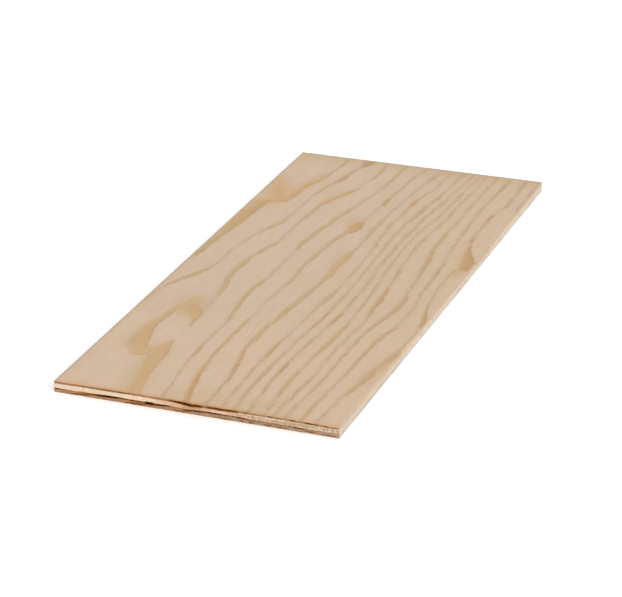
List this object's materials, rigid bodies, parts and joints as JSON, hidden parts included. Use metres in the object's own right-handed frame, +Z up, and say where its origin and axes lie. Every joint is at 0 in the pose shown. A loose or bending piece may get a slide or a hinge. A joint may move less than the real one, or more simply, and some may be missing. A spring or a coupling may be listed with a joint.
{
  "type": "plywood panel",
  "caption": "Flat rectangular softwood plywood panel: a thin sanded face veneer, a cross-laid core and a back veneer, glued together, with sawn edges.",
  "frame": {"origin": "middle of the underside", "axes": "+X across the face grain, +Y along the face grain and the panel's length, +Z up out of the sanded face"},
  "size_m": [0.3048, 0.6858, 0.0119],
  "materials": {
    "face_veneer": "sanded, unfinished softwood",
    "core_veneer": "sawn edge of a cross-laid softwood veneer",
    "back_veneer": "unsanded softwood veneer with rough end grain"
  },
  "bodies": {
    "root": {"face_veneer": "face_veneer", "core_veneer_left": "core_veneer", "core_veneer_right": "core_veneer", "back_veneer": "back_veneer"}
  },
  "joints": []
}
